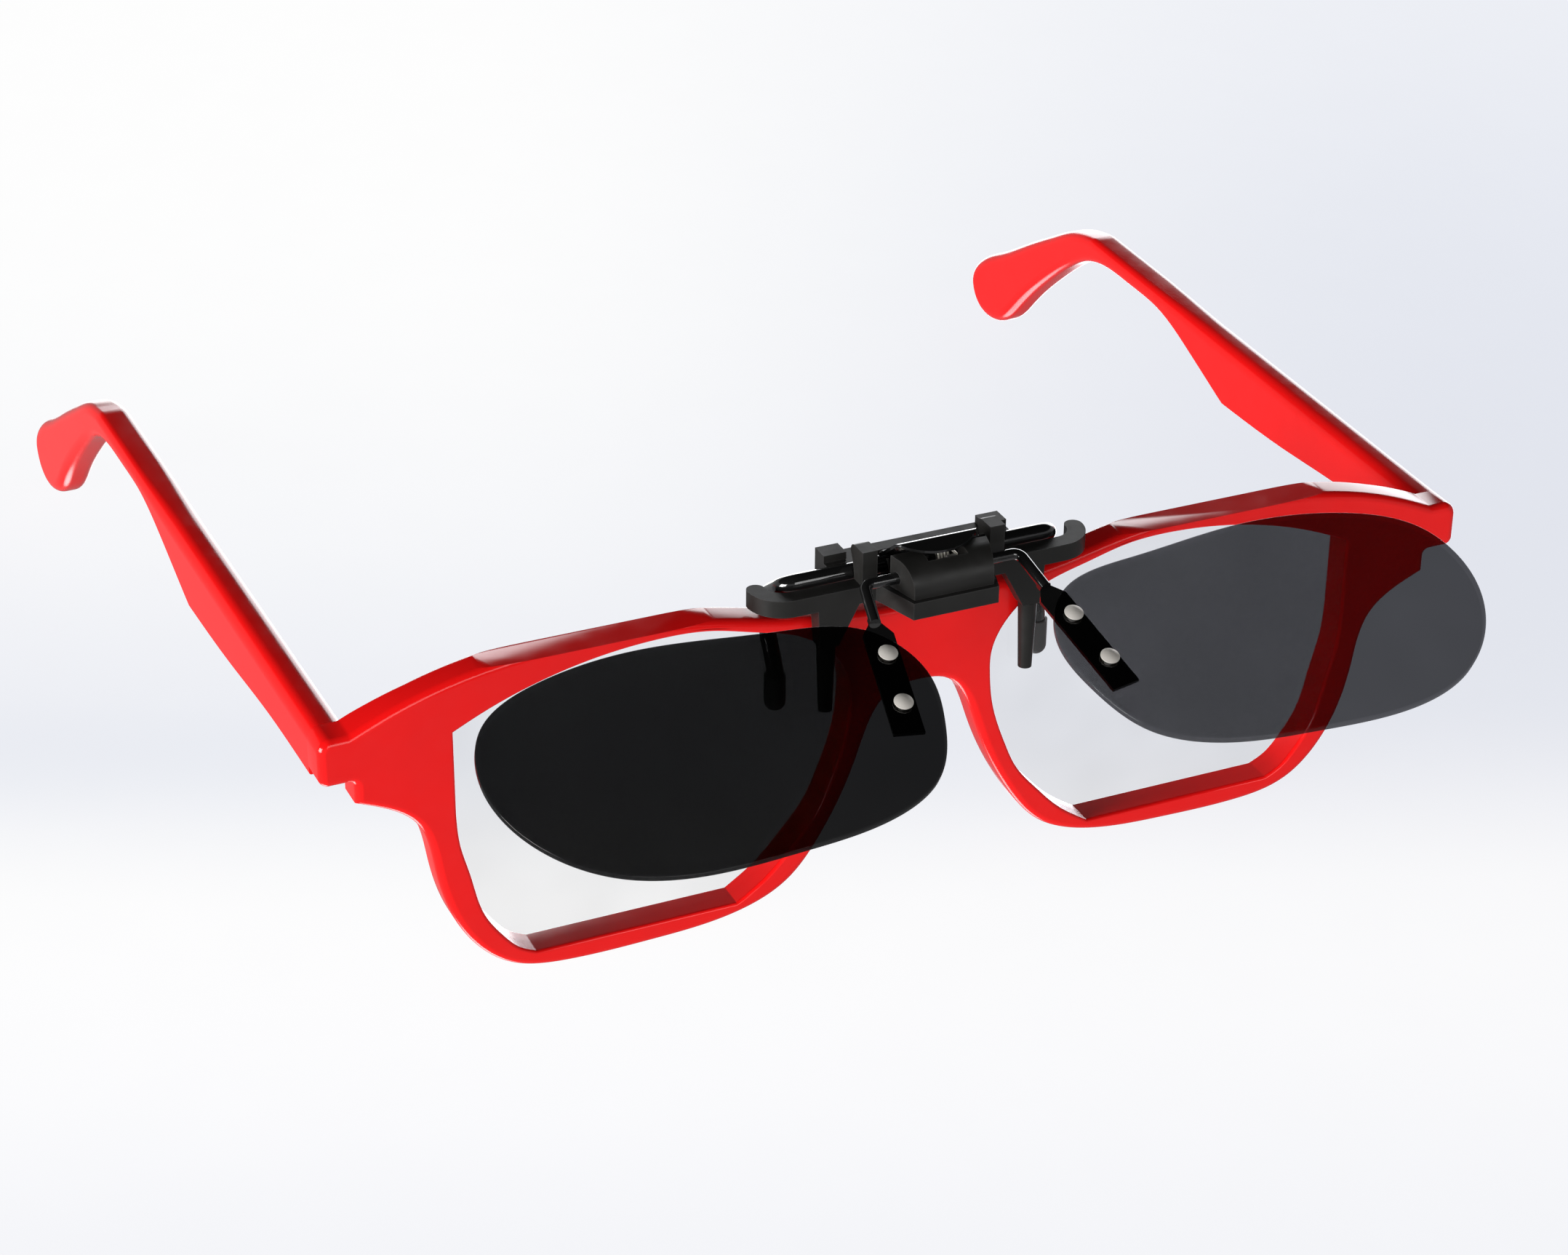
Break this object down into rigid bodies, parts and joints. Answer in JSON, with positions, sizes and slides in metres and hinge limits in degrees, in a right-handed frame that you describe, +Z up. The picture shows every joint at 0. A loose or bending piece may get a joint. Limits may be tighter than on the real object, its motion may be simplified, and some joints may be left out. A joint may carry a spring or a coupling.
{
  "type": "clip-on flip-up sunglasses",
  "caption": "Flip-up smoke-lens clip-on sunglasses with a sprung bridge clamp, fitted to a red square spectacle frame with clear lenses and folding temples.",
  "frame": {"origin": "plane of symmetry, back face of the rims, datum line through the middle of the lenses", "axes": "+Z up, -Y the way the wearer looks, +X to the right seen from the front"},
  "size_m": [0.1444, 0.1572, 0.0464],
  "materials": {
    "red_acetate": "polished gloss",
    "clear_lens": "clear, polished",
    "hinge_steel": "satin nickel",
    "black_moulding": "satin",
    "black_lacquer": "gloss black",
    "spring_wire": "bright wire",
    "rivet_nickel": "bright nickel",
    "smoke_rubber": "soft satin",
    "smoke_lens": "smoke grey, polished",
    "pale_nylon": "satin"
  },
  "bodies": {
    "spectacle_front": {"front_frame": "red_acetate", "clear_lens_right": "clear_lens", "clear_lens_left": "clear_lens", "hinge_front_leaf_right": "hinge_steel", "hinge_front_leaf_left": "hinge_steel", "hinge_screw_right": "hinge_steel", "hinge_screw_left": "hinge_steel"},
    "right_temple": {"temple_right": "red_acetate", "hinge_temple_leaf_right": "hinge_steel"},
    "left_temple": {"temple_left": "red_acetate", "hinge_temple_leaf_left": "hinge_steel"},
    "clip_front_jaw": {"front_jaw": "black_moulding", "hinge_housing": "black_moulding", "housing_screws": "hinge_steel", "spring_saddle": "black_lacquer", "saddle_pin": "black_lacquer", "clamp_springs": "spring_wire", "flip_spring": "spring_wire", "flip_detent": "pale_nylon"},
    "clip_rear_jaw": {"rear_jaw_rod": "black_lacquer", "rear_yoke": "black_moulding", "rear_pad_right": "smoke_rubber", "rear_pad_left": "smoke_rubber"},
    "lens_flip_assembly": {"lens_bridge": "black_lacquer", "dark_lens_right": "smoke_lens", "dark_lens_left": "smoke_lens", "lens_rivets_right": "rivet_nickel", "lens_rivets_left": "rivet_nickel", "rivet_washers_right": "pale_nylon", "rivet_washers_left": "pale_nylon"}
  },
  "joints": [
    {"name": "right_temple_fold", "type": "hinge", "parent": "spectacle_front", "child": "right_temple", "pos_m": [0.0652, 0.0023, 0.0082], "axis": [0, 0, 1], "range_deg": [0, 75]},
    {"name": "left_temple_fold", "type": "hinge", "parent": "spectacle_front", "child": "left_temple", "pos_m": [-0.0652, 0.0023, 0.0082], "axis": [0, 0, -1], "range_deg": [0, 88]},
    {"name": "clip_lift", "type": "slide", "parent": "spectacle_front", "child": "clip_front_jaw", "axis": [0, 0, 1], "range_m": [0, 0.003]},
    {"name": "clamp_pivot", "type": "hinge", "parent": "clip_front_jaw", "child": "clip_rear_jaw", "pos_m": [0, -0.0029, 0.0195], "axis": [1, 0, 0], "range_deg": [0, 10]},
    {"name": "lens_flip", "type": "hinge", "parent": "clip_front_jaw", "child": "lens_flip_assembly", "pos_m": [0, -0.0082, 0.0206], "axis": [1, 0, 0], "range_deg": [-55, 69]}
  ]
}
